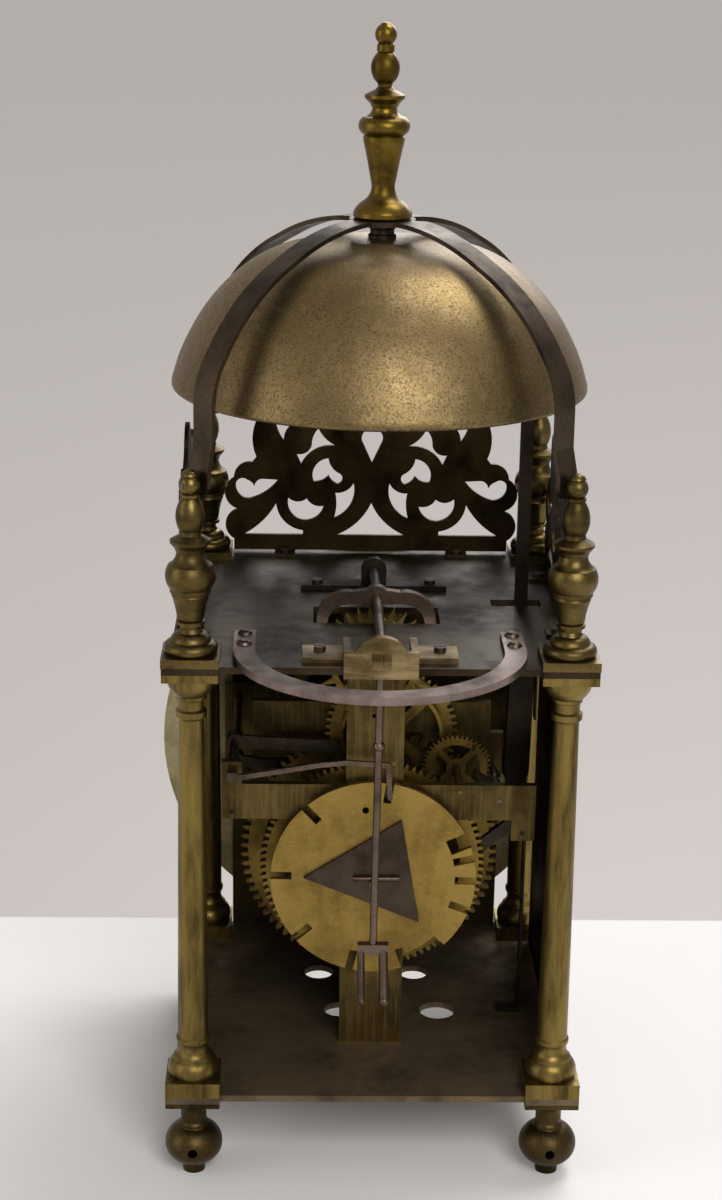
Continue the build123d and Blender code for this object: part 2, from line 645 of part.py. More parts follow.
def count_wheel():
    """Count wheel with slots spaced for the blows and one stretch of its rim cut low."""
    face = Circle(COUNT_R)
    slot = Pos(COUNT_R - 2.8, 0) * Rectangle(9.6, 2.9)
    for angle in COUNT_SLOTS:
        face = face - Rot(0, 0, 180 - angle) * slot
    face = face - Rot(0, 0, 180 - COUNT_WIDE) * Pos(COUNT_R - 2.8, 0) * Rectangle(9.6, 5.8)
    low = [polar(COUNT_R + 3, radians(180 - a)) for a in COUNT_LOW]
    sunk = [polar(COUNT_R - 5, radians(180 - a)) for a in reversed(COUNT_LOW)]
    face = face - outline(low[0], [(*low[1], *low[2]), sunk[0], (*sunk[1], *sunk[2])])
    face = face - Circle(ARBOR) - Pos(3.2, 26.5) * Circle(1.25)
    return upright(Pos(*STRIKE_AT) * face, *COUNT_Y)


def keeper():
    """Three-cornered steel spring plate pressed on the count wheel by its cross pin."""
    face = make_face(Polyline(*KEEPER, close=True))
    face = face - Pos(*STRIKE_AT) * Circle(ARBOR)
    return upright(face, COUNT_Y[1], COUNT_Y[1] + KEEPER_T)


def keeper_pin():
    y = COUNT_Y[1] + KEEPER_T + 1.0
    pin = Pos(-1.0, y, STRIKE_AT[1] + 0.9) * Rot(0, 90, 0) * Cylinder(0.95, 16.7)
    return pin - rod(STRIKE_AT, 30.0, 50.0, ARBOR)


def hoop_wheel():
    """Second striking wheel with its hoop, cut through for the detent."""
    body = wheel(HOOP_AT, WARNING_AT, HOOP_TEETH, WARNING_LEAVES, HOOP_M, 5.0, 5.0, 3.6, HOOP_Y)
    ring = Circle(19.2) - Circle(17.8) - Pos(18.5, 0) * Rectangle(4.0, 5.0)
    body = body + upright(Pos(*HOOP_AT) * ring, HOOP_Y[1], 2.4)
    body = body + pinion(HOOP_AT, STRIKE_AT, HOOP_LEAVES, STRIKE_M, (18.5, 25.5))
    return body + arbor(HOOP_AT, MIDDLE_BAR + BAR_T, REAR_BAR, -10.6, 31.2)


def warning_wheel():
    body = wheel(WARNING_AT, FLY_AT, WARNING_TEETH, FLY_LEAVES, WARNING_M, 2.6, 3.6, 2.4, WARNING_Y)
    body = body + pinion(WARNING_AT, HOOP_AT, WARNING_LEAVES, HOOP_M, (-5.5, 0.5))
    body = body + rod(polar(10.6, 2.2, WARNING_AT), WARNING_Y[1], WARNING_Y[1] + WARNING_PIN, 0.6)
    return body + arbor(WARNING_AT, MIDDLE_BAR + BAR_T, REAR_BAR, -10.6, 31.2, 1.4)


def fly():
    """Two-bladed air brake on the last arbor of the striking train."""
    body = pinion(FLY_AT, WARNING_AT, FLY_LEAVES, WARNING_M, (3.0, 8.5))
    vane = upright(Pos(*FLY_AT) * Rot(0, 0, 35) * Rectangle(20.0, 0.9), *VANE_Y)
    body = body + vane + rod(FLY_AT, VANE_Y[0] - 0.5, 24.0, 2.0)
    return body + arbor(FLY_AT, MIDDLE_BAR + BAR_T, REAR_BAR, -10.6, 31.2, 1.2)


# Levers

def bent_rod(points, radius):
    """Round wire through points in space: straight runs with a ball at each bend."""
    parts = []
    for a, b in zip(points, points[1:]):
        line = Edge.make_line(a, b)
        parts.append(sweep(Plane(origin=a, z_dir=Vector(*b) - Vector(*a)) * Circle(radius), path=line))
        parts.append(Pos(*b) * Sphere(radius))
    return join(parts)


def flat_run(points, width, y0, y1):
    """Flat strip following X-Z points, with round joints."""
    face = Pos(*points[0]) * Circle(width / 2)
    for a, b in zip(points, points[1:]):
        long = hypot(b[0] - a[0], b[1] - a[1])
        middle = ((a[0] + b[0]) / 2, (a[1] + b[1]) / 2)
        face = face + Pos(*middle) * Rot(0, 0, degrees(direction(a, b))) * Rectangle(long, width)
        face = face + Pos(*b) * Circle(width / 2)
    return upright(face, y0, y1)


def count_detent():
    """Detent arbor with the hoop lever inside and the wire to the count wheel outside."""
    body = rod(DETENT_AT, FRONT_BAR + BAR_T + CLEAR, 38.6, ARBOR)
    body = body + rod(DETENT_AT, -49.6, FRONT_BAR + BAR_T + CLEAR, PIVOT)
    body = body + Pos(DETENT_AT[0], 35.4, DETENT_AT[1]) * Box(3.4, 6.8, 3.4)
    wire = [DETENT_AT, (47.0, 141.6), (20.5, 146.3), (10.3, 147.3), (-4.6, 146.4), (-5.4, 134.0)]
    body = body + flat_run(wire, 1.8, COUNT_Y[1] + 0.4, COUNT_Y[1] + 1.8)
    body = body + rod(DETENT_AT, -2.0, 4.0, 3.2)
    return body + flat_run([DETENT_AT, (44.0, 141.2), (15.0, 139.6)], 4.6, 0.2, 2.0)


def lifting_lever():
    """Lever lifted once an hour by a pin of the great wheel, with its warning arm."""
    body = arbor(LIFTING_AT, FRONT_BAR + BAR_T, REAR_BAR, -49.6, 31.2)
    body = body + rod(LIFTING_AT, -24.5, -19.0, 3.0) + rod(LIFTING_AT, 10.4, 15.0, 3.0)
    body = body + flat_run([LIFTING_AT, (42.0, 124.0), (31.6, 124.2)], 3.6, -22.0, -20.0)
    return body + flat_run([LIFTING_AT, (20.0, 127.0), (-18.4, 123.8)], 3.4, 11.8, 13.4)


def hammer():
    """Hammer arbor with its shank up into the bell, its head and the tail at the pins."""
    body = arbor(HAMMER_AT, FRONT_BAR + BAR_T, REAR_BAR, -49.6, 31.2, 2.0)
    body = body + rod(HAMMER_AT, HAMMER_Y[0] - 1.5, HAMMER_Y[1] + 1.5, 4.2)
    shank = [(-51.0, 116.0), (-49.8, 130.0), (-50.6, CEILING - 16.3), (-51.2, CEILING - 8.3)]
    shank += [(-51.2, HEAD_Z - 3.0), (-55.8, HEAD_Z - 3.0), (-55.8, CEILING - 8.3)]
    shank += [(HAMMER_EDGE, CEILING - 20.3), (-59.0, 130.0)]
    body = body + upright(outline((-56.6, 116.0), shank), *HAMMER_Y)
    tip = polar(PIN_CIRCLE + PIN_R + CLEAR + TAIL_W / 2, direction(STRIKE_AT, (-36.6, 104.6)), STRIKE_AT)
    body = body + flat_run([HAMMER_AT, (-46.0, 111.5), tip], TAIL_W, 15.2, 17.6)
    body = body + rod(HAMMER_AT, 13.8, 19.0, 3.6)
    body = body + flat_run([HAMMER_AT, (HAMMER_AT[0], 106.0)], 3.6, 3.0, 6.0)
    steps = [(4.6, 0.0), (5.4, 0.8), (5.4, 12.4), (4.3, 16.0, 0.6, 17.4), (0.0, 17.4)]
    head = Rot(0, -90, 0) * turned((0.0, 0.0), steps)
    return body + Pos(HEAD_REAR, sum(HAMMER_Y) / 2, HEAD_Z) * head


def hammer_spring():
    """Blade spring standing on the bottom plate behind the hammer's lower arm."""
    blade = block((-58.0, -57.1), (2.0, 7.0), (FLOOR, 112.0))
    foot_part = block((-58.0, -49.0), (2.0, 7.0), (FLOOR, FLOOR + 1.6))
    return blade + foot_part


def hammer_stop():
    """Thin blade fixed under the top plate that checks the hammer just short of the bell."""
    x = (HAMMER_EDGE - CLEAR - 0.8, HAMMER_EDGE - CLEAR)
    blade = block(x, (-5.5, -0.5), (CEILING - 42.3, CEILING))
    return blade + block(x, (-5.5, 8.0), (CEILING - 8.3, CEILING))


# Escapement and cocks

def anchor():
    """Recoil anchor on its long arbor, with two curved arms over the escape wheel."""
    y = (ESCAPE_Y[0] - 0.8, ESCAPE_Y[1] + 0.8)
    face = Pos(*ANCHOR_AT) * Circle(4.6)
    steps = [(8.5, 2.3), (19.4, -2.1, 20.6, -12.5), (16.6, -14.3), (16.4, -5.9, 9.0, -2.1)]
    arm = Pos(*ANCHOR_AT) * outline((0.0, 3.5), [*steps, (0.0, -2.3)])
    face = face + arm + mirror(arm, Plane.YZ)
    face = face - Pos(*ESCAPE_AT) * Circle(ESCAPE_TIP + 1.3)
    body = upright(face, *y) + rod(ANCHOR_AT, 7.0, y[0], 3.2)
    return body + arbor(ANCHOR_AT, -20.0, COCK_Y, -24.0, COCK_Y + 2.0, ANCHOR_R)


def crutch():
    """Steel crutch rod with the two-pronged fork turned back for the pendulum rod."""
    y = CRUTCH_Y
    rod_part = bent_rod([(0.0, y, ANCHOR_AT[1] - 1.9), (0.2, y, 160.0), (0.8, y, 91.0)], 1.3)
    knob = Pos(0.1, y, 166.0) * Sphere(2.0)
    shoulder = block((-4.6, 6.2), (y - 1.6, y + 1.6), (88.4, 92.2))
    left = bent_rod([(5.0, y, 89.8), (5.0, y + 14.0, 77.0)], 1.25)
    right = bent_rod([(-2.8, y, 89.8), (-2.8, y + 14.0, 77.0)], 1.6)
    collar = rod(ANCHOR_AT, y - 2.0, y + 2.0, 3.4)
    return join([rod_part, knob, shoulder, left, right, collar]) - rod(ANCHOR_AT, y - 5, y + 5, ANCHOR_R)


def front_cock():
    """Bridge-shaped cock that carries the front pivot of the anchor arbor."""
    face = strip_face(-27.0, 27.0, TOP, TOP + 1.8) + strip_face(-4.7, 4.7, TOP, ANCHOR_AT[1])
    face = face + Pos(0, ANCHOR_AT[1]) * Circle(4.7)
    body = upright(face, -23.2, -20.0) + block((-27.0, 27.0), (-26.0, -17.0), (TOP, TOP + 1.8))
    body = body - rod(ANCHOR_AT, -30.0, -10.0, PIVOT_HOLE)
    for side in (-1, 1):
        body = body - post(side * 21.0, -21.5, TOP - 1, TOP + 5, SCREW_R + RUN)
    return body


def rear_cock():
    """Brass cock over the rear edge: back plate, two feet and the slit nose."""
    steps = [(12.6, -2.9), (12.6, 6.5), (9.0, 6.5), (0.0, 11.9, -9.0, 6.5), (-12.6, 6.5)]
    body = upright(Pos(0, TOP) * outline((-12.6, -2.9), steps), COCK_Y, COCK_Y + COCK_T)
    for side in (-1, 1):
        x = sorted((side * 10.2, side * 12.6))
        body = body + block(x, (55.0, COCK_Y), (TOP, TOP + 5.7))
        fx = sorted((side * 12.6, side * 26.4))
        foot_part = block(fx, (53.0, 66.0), (TOP, TOP + 2.0))
        body = body + foot_part - post(side * 20.5, 57.5, TOP - 1, TOP + 5, SCREW_R + RUN)
    nose_end = COCK_Y + COCK_T + 8.6
    body = body + block((-3.2, 3.2), (COCK_Y + COCK_T, nose_end), (TOP + 3.5, TOP + 6.5))
    body = body - block((-0.45, 0.45), (nose_end - 6.0, nose_end + 1), (TOP - 5, TOP + 10))
    return body - rod(ANCHOR_AT, COCK_Y - 1.6, COCK_Y + 2.3, PIVOT_HOLE)


def cock_screws():
    rear = [cheese_screw(side * 20.5, 57.5, TOP + 2.0) for side in (-1, 1)]
    front = [cheese_screw(side * 21.0, -21.5, TOP + 1.8) for side in (-1, 1)]
    return Compound(children=rear + front)


# Hanging hoop

def hanging_hoop():
    """Flat steel hoop riveted on the top plate, standing out behind the clock."""
    inner = HOOP_R - HOOP_W
    steps = [(HOOP_R, HOOP_C), (0.0, HOOP_C + HOOP_R, -HOOP_R, HOOP_C), (-HOOP_R, 39.0), (-inner, 39.0)]
    steps += [(-inner, HOOP_C), (0.0, HOOP_C + inner, inner, HOOP_C), (inner, 39.0)]
    body = Pos(0, 0, TOP) * extrude(outline((HOOP_R, 39.0), steps), HOOP_T)
    for x, y in RIVETS:
        body = body - post(x, y, TOP - 1, TOP + 5, RIVET_R + RUN)
    return body


def hoop_rivets():
    steps = [(RIVET_R, -PLATE_T), (RIVET_R, HOOP_T), (2.7, HOOP_T), (2.2, HOOP_T + 0.9)]
    steps += [(1.2, HOOP_T + 1.4), (0.0, HOOP_T + 1.4)]
    rivet = turned((0.0, -PLATE_T), steps)
    return Compound(children=[Pos(x, y, TOP) * rivet for x, y in RIVETS])


# Dial

def dial_plate():
    """Brass dial plate held between the plates by two lugs turned in at each end."""
    body = block((-DIAL_HALF, DIAL_HALF), (DIAL_Y, DIAL_Y + DIAL_T), (FLOOR, CEILING))
    for z in ((FLOOR, FLOOR + 1.6), (CEILING - 1.6, CEILING)):
        for side in (-1, 1):
            x = sorted((side * 24.0, side * 32.0))
            body = body + block(x, (DIAL_Y, DIAL_Y + 9.0), z)
    body = body - rod(DIAL_AT, -90.0, 0.0, 5.0)
    for radius, turn in RING_STUDS:
        body = body - rod(polar(radius, turn, DIAL_AT), -90.0, 0.0, RING_STUD + RUN)
    return body


def chapter_ring():
    """Chapter ring with four lugs inside for the studs that hold it to the dial plate."""
    face = Circle(RING_OUT) - Circle(RING_IN)
    for k in range(4):
        lug = Pos(RING_IN - 3.0, 0) * Rectangle(13.0, 6.0)
        face = face + Rot(0, 0, 45 + 90 * k) * lug
    body = upright(Pos(*DIAL_AT) * face, RING_Y, RING_Y + RING_T)
    for radius, turn in RING_STUDS:
        body = body - rod(polar(radius, turn, DIAL_AT), -90.0, 0.0, RING_STUD)
    return body


def ring_studs():
    """Four studs through the ring's lugs, each with a collar that holds the ring off the plate."""
    studs = []
    for radius, turn in RING_STUDS:
        at = polar(radius, turn, DIAL_AT)
        collar = rod(at, RING_Y + RING_T, DIAL_Y, RING_STUD + 1.1)
        studs.append(rod(at, RING_Y, DIAL_Y + DIAL_T + 1.2, RING_STUD) + collar)
    return Compound(children=studs)


def hour_hand():
    """Single hand: a looped pointer, a round boss and a plain tail."""
    pointer = outline((0.0, 3.0), [(2.2, 3.0), (2.6, 18.0), (8.2, 25.0, 2.4, 33.0), (4.6, 37.0, 0.0, 50.0)])
    loop = outline((1.0, 20.5), [(5.2, 25.6, 1.0, 30.8)])
    tail = outline((0.0, -4.0), [(1.8, -4.0), (2.6, -20.0), (3.6, -24.0, 0.0, -29.0)])
    half = pointer - loop + tail
    face = half + mirror(half, Plane.YZ) + Circle(7.0)
    face = Rot(0, 0, -55) * face - Circle(PIPE_R)
    return upright(Pos(*DIAL_AT) * face, *HAND_Y)


def hand_pin():
    """Washer and taper pin that keep the hand on its stud."""
    washer = rod(DIAL_AT, HAND_Y[0] - 1.0, HAND_Y[0] - 0.6, 4.4)
    pin = Pos(0, HAND_Y[0] - 1.5, DIAL_AT[1]) * Rot(0, 90, 0) * Cylinder(0.6, 12.0)
    return Compound(children=[washer + pin - rod(DIAL_AT, -90, 0, STUD_R)])


# Side doors

def door(side):
    """Thin side door hung on two pivots that stand in the plates."""
    x = sorted((side * DOOR_X, side * (DOOR_X + DOOR_T)))
    body = block(x, (-52.5, HINGE_Y), (FLOOR + 1.0, CEILING - 1.0))
    for z0, z1 in ((BOTTOM + 0.4, FLOOR + 9.0), (CEILING - 9.0, TOP - 0.4)):
        body = body + post(side * HINGE_X, HINGE_Y, z0, z1, HINGE_R)
    steps = [(1.6, 0.0), (1.3, 1.6), (3.2, 3.2, 0.5, 5.0), (0.0, 5.0)]
    knob = Rot(0, 90 * side, 0) * turned((0.0, 0.0), steps)
    return body + Pos(side * (DOOR_X + DOOR_T), -46.0, 113.0) * knob


NODES = {
    "top_plate": top_plate,
    "bottom_plate": bottom_plate,
    "bell_strap": bell_strap,
    "bell": bell,
    "bell_nut": bell_nut,
    "bell_bolt": bell_bolt,
    "top_finial": top_finial,
    "front_fret": fret,
    "fret_screws": fret_screws,
    "front_bar": front_bar,
    "middle_bar": middle_bar,
    "rear_bar": rear_bar,
    "going_great_wheel": going_great_wheel,
    "going_second_wheel": going_second_wheel,
    "escape_wheel": escape_wheel,
    "hour_wheel": hour_wheel,
    "dial_stud": dial_stud,
    "strike_great_wheel": strike_great_wheel,
    "count_wheel": count_wheel,
    "count_wheel_keeper": keeper,
    "keeper_pin": keeper_pin,
    "hoop_wheel": hoop_wheel,
    "warning_wheel": warning_wheel,
    "fly": fly,
    "count_detent": count_detent,
    "lifting_lever": lifting_lever,
    "hammer": hammer,
    "hammer_spring": hammer_spring,
    "hammer_stop": hammer_stop,
    "anchor": anchor,
    "crutch": crutch,
    "front_cock": front_cock,
    "rear_cock": rear_cock,
    "cock_screws": cock_screws,
    "hanging_hoop": hanging_hoop,
    "hoop_rivets": hoop_rivets,
    "dial_plate": dial_plate,
    "chapter_ring": chapter_ring,
    "ring_studs": ring_studs,
    "hour_hand": hour_hand,
    "hand_pin": hand_pin,
}


def corner_nodes():
    """Four of each corner piece, named by its place as seen from the dial."""
    column = pillar()
    plain_foot = foot()
    spur_foot = rear_foot()
    finial = corner_finial()
    pins = []
    for x, y in CORNERS:
        name = ("rear" if y > 0 else "front") + ("_right" if x > 0 else "_left")
        save(f"pillar_{name}", Pos(x, y, 0) * column)
        save(f"foot_{name}", Pos(x, y, 0) * (spur_foot if y > 0 else plain_foot))
        save(f"finial_{name}", Pos(x, y, TOP) * finial - radial_pin_hole(x, y, STRAP_PIN + RUN))
        pins.append(strap_pin(x, y))
    save("strap_pins", Compound(children=pins))


def main():
    corner_nodes()
    save("left_fret", Rot(0, 0, -90) * fret())
    save("right_fret", Rot(0, 0, 90) * fret())
    save("going_pulley", pulley(GOING_AT, GOING_PULLEY_Y))
    save("strike_pulley", pulley(STRIKE_AT, STRIKE_PULLEY_Y))
    save("left_door", door(-1))
    save("right_door", door(1))
    for name, make in NODES.items():
        save(name, make())


if __name__ == "__main__":
    main()
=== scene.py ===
"""Lantern clock seen from behind: finishes, dial work, soft light and the camera."""

import math

import bpy
from mathutils import Matrix, Vector


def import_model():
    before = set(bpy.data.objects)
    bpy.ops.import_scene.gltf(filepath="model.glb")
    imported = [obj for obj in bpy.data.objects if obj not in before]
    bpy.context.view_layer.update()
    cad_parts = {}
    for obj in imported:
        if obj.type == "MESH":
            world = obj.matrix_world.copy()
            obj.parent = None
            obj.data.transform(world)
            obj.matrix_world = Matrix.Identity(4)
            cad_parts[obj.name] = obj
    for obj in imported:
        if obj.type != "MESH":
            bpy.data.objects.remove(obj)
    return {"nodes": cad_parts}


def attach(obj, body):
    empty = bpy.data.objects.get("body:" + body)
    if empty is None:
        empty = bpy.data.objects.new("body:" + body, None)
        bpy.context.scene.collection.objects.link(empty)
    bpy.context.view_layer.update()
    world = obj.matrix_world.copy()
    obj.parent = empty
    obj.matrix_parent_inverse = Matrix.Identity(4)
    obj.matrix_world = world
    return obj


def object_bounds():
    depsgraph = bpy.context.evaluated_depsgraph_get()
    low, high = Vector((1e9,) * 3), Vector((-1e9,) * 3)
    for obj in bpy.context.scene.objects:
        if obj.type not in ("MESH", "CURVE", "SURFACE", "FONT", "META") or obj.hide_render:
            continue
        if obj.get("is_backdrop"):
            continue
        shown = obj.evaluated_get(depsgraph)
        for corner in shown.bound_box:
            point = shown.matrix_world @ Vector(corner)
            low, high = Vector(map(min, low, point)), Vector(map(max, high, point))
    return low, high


MM = 0.001

# The clock's own places, in millimetres from the middle of the four pillars
FRAME_Y = -14.2
DIAL_Z = 115.0
RING_FACE = -74.2
PLATE_FACE = -71.0
BEHIND_DIAL = PLATE_FACE + 0.2

# Camera: place, tilt, turn and lens solved from the photograph
CAMERA = (26.8, 789.4, 444.15)
PITCH = 17.425
YAW = -1.569
ROLL = 0.991
IMAGE = (722, 1200)
FOCAL_PIXELS = 2268.9
SENSOR = 36

# Engraved work of the chapter ring: hour numerals, strokes and circles, in millimetres
NUMERALS = ("XII", "I", "II", "III", "IIII", "V", "VI", "VII", "VIII", "IX", "X", "XI")
NUMERAL_R = 70.0
NUMERAL_SIZE = 17.0
NUMERAL_SHAPE = (0.82, 1.05, 1.0, 1.0)
HOUR_TURN = 30
STROKE_TURN = 7.5
MARK_T = 0.08
CIRCLE_W = 0.5
CIRCLES = (("ring_line_outer", 80.2), ("ring_line_hours", 61.4), ("ring_line_inner", 54.4))
FACE_TURN = Matrix.Rotation(math.radians(90), 4, "X")

# Table, wall tone and lamps, in metres
FLOOR_SIZE = 16
TABLE_EDGE = 0.158
EDGE_BLUR = 0.0015
FAR_FADE = (1.0, 2.2)
EYE_Y = 0.775
# Ends of the painted light on the wall: lighter near the table edge, darker far off; FAR_WALL is also the
# room's far tone
NEAR_WALL = "#dcd4d0"
FAR_WALL = "#b4aeab"
ROOM_GLOW = (0.29, 0.28, 0.27, 1)
LAMP_AIM = (0, 0, 0.2)
SOFTBOXES = (
    ("key_softbox", (-0.35, 1.3, 1.05), (0.8, 0.8), 15),
    ("fill_softbox", (1.3, 0.5, 0.5), (0.7, 1.1), 4),
    ("front_softbox", (-0.4, -1.3, 0.9), (1.0, 0.8), 9),
    ("top_softbox", (-0.45, -0.3, 1.4), (0.6, 0.6), 9),
)


def place(x, y, z):
    """A place in the clock's own millimetres, in metres from the row's origin."""
    return Vector((x, y + FRAME_Y, z)) * MM


# Shader maths

class Signal:
    """A shader socket that can be added, multiplied and so on like a number."""

    def __init__(self, finish, socket):
        self.finish = finish
        self.socket = socket

    def math(self, operation, other=0.0, swap=False):
        """One Math node on this signal and another value, in either order."""
        pair = (other, self) if swap else (self, other)
        node = self.finish.node("ShaderNodeMath", {"operation": operation}, {0: pair[0], 1: pair[1]})
        return node.out()

    def __add__(self, other):
        return self.math("ADD", other)

    def __radd__(self, other):
        return self.math("ADD", other)

    def __sub__(self, other):
        return self.math("SUBTRACT", other)

    def __rsub__(self, other):
        return self.math("SUBTRACT", other, swap=True)

    def __mul__(self, other):
        return self.math("MULTIPLY", other)

    def __rmul__(self, other):
        return self.math("MULTIPLY", other)

    def __truediv__(self, other):
        return self.math("DIVIDE", other)

    def __rtruediv__(self, other):
        return self.math("DIVIDE", other, swap=True)

    def __pow__(self, other):
        return self.math("POWER", other)

    def above(self, edge):
        return self.math("GREATER_THAN", edge)

    def clamped(self):
        return self.math("MAXIMUM", 0.0).math("MINIMUM", 1.0)

    def step(self, low, high):
        """0 below low, 1 above high, and an even slope between."""
        return ((self - low) / (high - low)).clamped()


class Node:
    """A shader node whose outputs are read by name."""

    def __init__(self, finish, node):
        self.finish = finish
        self.node = node

    def out(self, name=0):
        return Signal(self.finish, self.node.outputs[name])


class Finish:
    """A material made of named steps around one Principled shader."""

    def __init__(self, name):
        self.material = bpy.data.materials.new(name)
        self.material.use_nodes = True
        self.tree = self.material.node_tree
        self.shader = self.tree.nodes["Principled BSDF"]
        self.place = self.node("ShaderNodeTexCoord").out("Object")

    def node(self, kind, settings=None, values=None):
        node = self.tree.nodes.new(kind)
        for key, value in (settings or {}).items():
            if key == "stops":
                self.set_stops(node.color_ramp, value)
            else:
                setattr(node, key, value)
        for key, value in (values or {}).items():
            self.feed(node.inputs[key], value)
        return Node(self, node)

    def set_stops(self, ramp, stops):
        while len(ramp.elements) < len(stops):
            ramp.elements.new(0.5)
        for element, (at, colour) in zip(ramp.elements, stops):
            element.position = at
            element.color = (*colour, 1.0)

    def feed(self, socket, value):
        if isinstance(value, Signal):
            self.tree.links.new(value.socket, socket)
        elif isinstance(value, tuple) and len(value) == 3 and socket.type == "RGBA":
            socket.default_value = (*value, 1.0)
        else:
            socket.default_value = value

    def set(self, **values):
        for key, value in values.items():
            self.feed(self.shader.inputs[key.replace("_", " ")], value)

    def noise(self, scale, detail=3.0, stretch=(1, 1, 1), rough=0.5):
        spread = self.node("ShaderNodeMapping", None, {"Vector": self.place, "Scale": stretch}).out()
        values = {"Vector": spread, "Scale": scale, "Detail": detail, "Roughness": rough}
        return self.node("ShaderNodeTexNoise", None, values).out("Fac")

    def cells(self, scale):
        values = {"Vector": self.place, "Scale": scale}
        return self.node("ShaderNodeTexVoronoi", None, values).out("Distance")

    def axis(self, name):
        return self.node("ShaderNodeSeparateXYZ", None, {0: self.place}).out(name)

    def blend(self, amount, low, high):
        node = self.node("ShaderNodeMix", {"data_type": "RGBA"}, {0: amount, 6: low, 7: high})
        return node.out(2)

    def bump(self, height, strength, distance):
        values = {"Height": height, "Strength": strength, "Distance": distance}
        self.set(Normal=self.node("ShaderNodeBump", None, values).out())


def srgb(code):
    """Linear colour of a #rrggbb code."""
    parts = [int(code[i:i + 2], 16) / 255 for i in (1, 3, 5)]
    return tuple(c / 12.92 if c <= 0.04045 else ((c + 0.055) / 1.055) ** 2.4 for c in parts)


def old_metal(name, base, dark, light, rough=0.38, grain=1.0, metallic=1.0, stretch=(1, 1, 1), pits=0.5):
    """Handled metal: broad tarnish, brighter rubbed places, fine scratches and small pits."""
    m = Finish(name)
    broad = m.noise(38 * grain, 4, stretch)
    patch = m.noise(150 * grain, 5, stretch, 0.6)
    fine = m.noise(1400 * grain, 2, stretch)
    speck = m.cells(1500 * grain)
    tarnish = (broad * 0.6 + patch * 0.4).step(0.42, 0.62)
    rubbed = (patch * 0.5 + fine * 0.5).step(0.52, 0.66)
    colour = m.blend(tarnish, srgb(base), srgb(dark))
    colour = m.blend(rubbed * (1 - tarnish) * 0.75, colour, srgb(light))
    spots = (1 - speck.step(0.05, 0.2)) * patch.step(0.5, 0.62) * pits
    colour = m.blend(spots, colour, srgb(dark))
    m.set(Base_Color=colour, Metallic=metallic)
    m.set(Roughness=(tarnish * 0.16 + fine * 0.14 + rough - 0.08).clamped())
    m.bump(patch * 0.6 + fine * 0.3 - spots * 0.5, 0.22, 0.0004)
    return m.material


def lined_metal(name, base, dark, light, along, rough=0.34, painted_shade_behind=None):
    """Filed sheet metal: fine lines along one way over broad tarnish; given a depth, everything behind it
    is painted dark brown as painted shade.
    """
    m = Finish(name)
    broad = m.noise(46, 4)
    patch = m.noise(190, 4, (1, 1, 1), 0.6)
    lines = m.noise(900, 2, along)
    tarnish = (broad * 0.65 + patch * 0.35).step(0.43, 0.6)
    colour = m.blend(tarnish * 0.8, srgb(base), srgb(dark))
    colour = m.blend(lines.step(0.5, 0.7) * 0.55, colour, srgb(light))
    if painted_shade_behind is not None:
        # Painted shade: all behind the given depth (the dial plate's back, inside the case) is blended
        # almost to dark brown #2a2214
        behind = m.axis("Y").above(place(0, painted_shade_behind, 0).y)
        colour = m.blend(behind * 0.85, colour, srgb("#2a2214"))
    m.set(Base_Color=colour, Metallic=1.0)
    m.set(Roughness=(tarnish * 0.15 + lines * 0.2 + rough - 0.1).clamped())
    m.bump(lines * 0.6 + patch * 0.5, 0.2, 0.0003)
    return m.material


def bell_metal():
    """Cast bell: warm grey-brown skin with a fine dark grit and faint turning rings."""
    m = Finish("bell_metal")
    broad = m.noise(24, 3)
    patch = m.noise(150, 5, (1, 1, 1), 0.65)
    fine = m.noise(2600, 2)
    rings = m.noise(1.0, 2, (2, 2, 1500))
    grit = m.noise(1250, 3, (1, 1, 1), 0.7)
    colour = m.blend(broad.step(0.35, 0.65), srgb("#84714b"), srgb("#6c5b3e"))
    colour = m.blend(patch.step(0.5, 0.68) * 0.45, colour, srgb("#9a8560"))
    colour = m.blend(grit.step(0.5, 0.6) * (patch * 0.9 + 0.15), colour, srgb("#43382a"))
    m.set(Base_Color=colour, Metallic=1.0)
    m.set(Roughness=(grit * 0.25 + fine * 0.1 + 0.25).clamped())
    m.bump(grit * 0.7 + fine * 0.3 + rings * 0.1, 0.26, 0.0004)
    return m.material


def wax_black():
    """Black wax of the engraved work."""
    m = Finish("engraving_wax")
    grain = m.noise(900, 3)
    m.set(Base_Color=m.blend(grain, srgb("#12100e"), srgb("#2a2520")), Metallic=0.0)
    m.set(Roughness=grain * 0.3 + 0.4)
    return m.material


